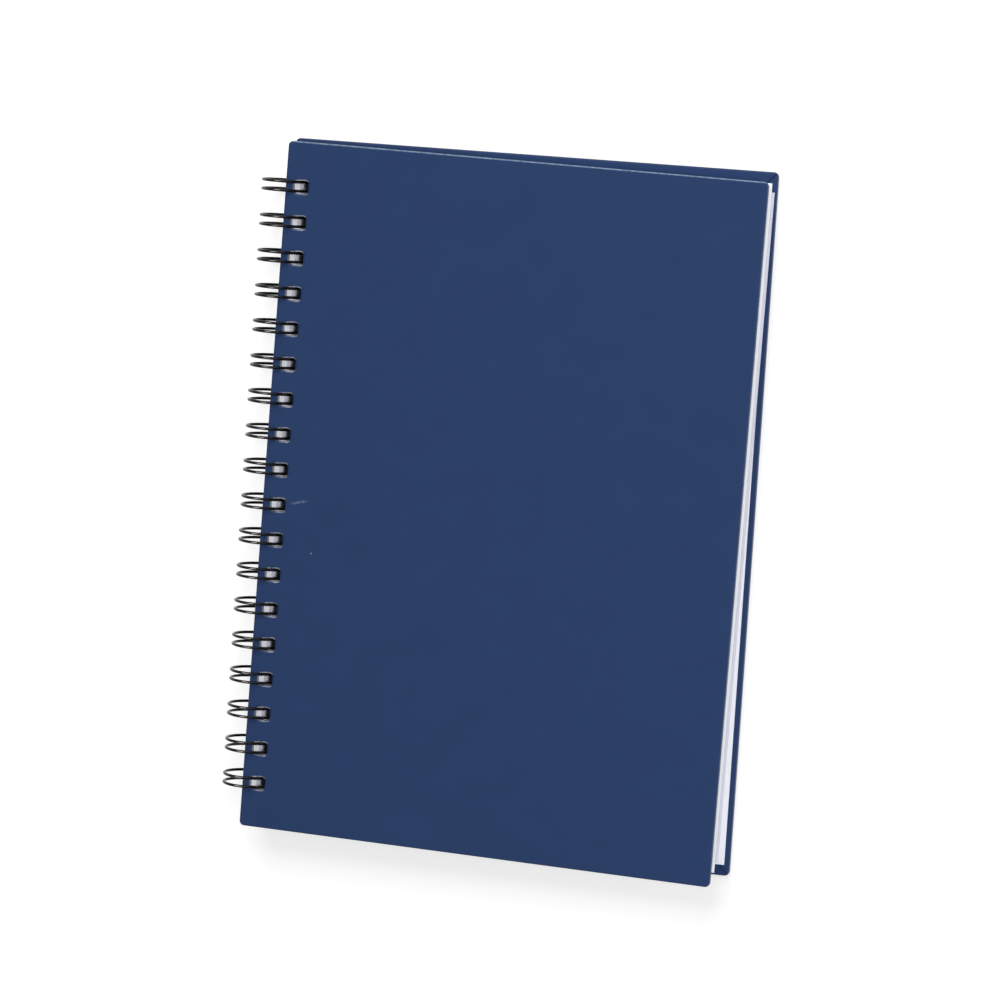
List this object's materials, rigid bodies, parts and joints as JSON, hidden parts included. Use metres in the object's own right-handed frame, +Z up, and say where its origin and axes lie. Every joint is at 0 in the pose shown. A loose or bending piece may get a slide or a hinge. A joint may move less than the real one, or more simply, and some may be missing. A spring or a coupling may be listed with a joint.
{
  "type": "spiral notebook",
  "caption": "Closed hard-cover notebook on a twin-loop wire binding, lying on its back cover; covers and pages turn about the loops.",
  "frame": {"origin": "bottom centre of the closed notebook's bounding box, on the surface that it lies on", "axes": "+X from the spine to the fore-edge, +Y towards the head, +Z up, out of the front cover"},
  "size_m": [0.164, 0.2178, 0.0169],
  "materials": {
    "wire": "glossy black coating on steel wire",
    "covering": "soft matte navy coated paper",
    "board": "raw grey board",
    "endpaper": "smooth white paper",
    "pages": "cut edges of plain writing paper"
  },
  "bodies": {
    "back_cover": {"back_covering": "covering", "back_board": "board", "back_pastedown": "endpaper", "binding_wire": "wire"},
    "pages": {"page_block": "pages", "front_endleaf": "endpaper"},
    "front_cover": {"front_pastedown": "endpaper", "front_board": "board", "front_covering": "covering"}
  },
  "joints": [
    {"name": "pages_turn", "type": "hinge", "parent": "back_cover", "child": "pages", "pos_m": [-0.07356, -0.00036, 0.00845], "axis": [0, -1, 0], "range_deg": [0, 180]},
    {"name": "front_cover_turn", "type": "hinge", "parent": "pages", "child": "front_cover", "pos_m": [-0.07356, -0.00036, 0.00845], "axis": [0, -1, 0], "range_deg": [0, 180]}
  ]
}
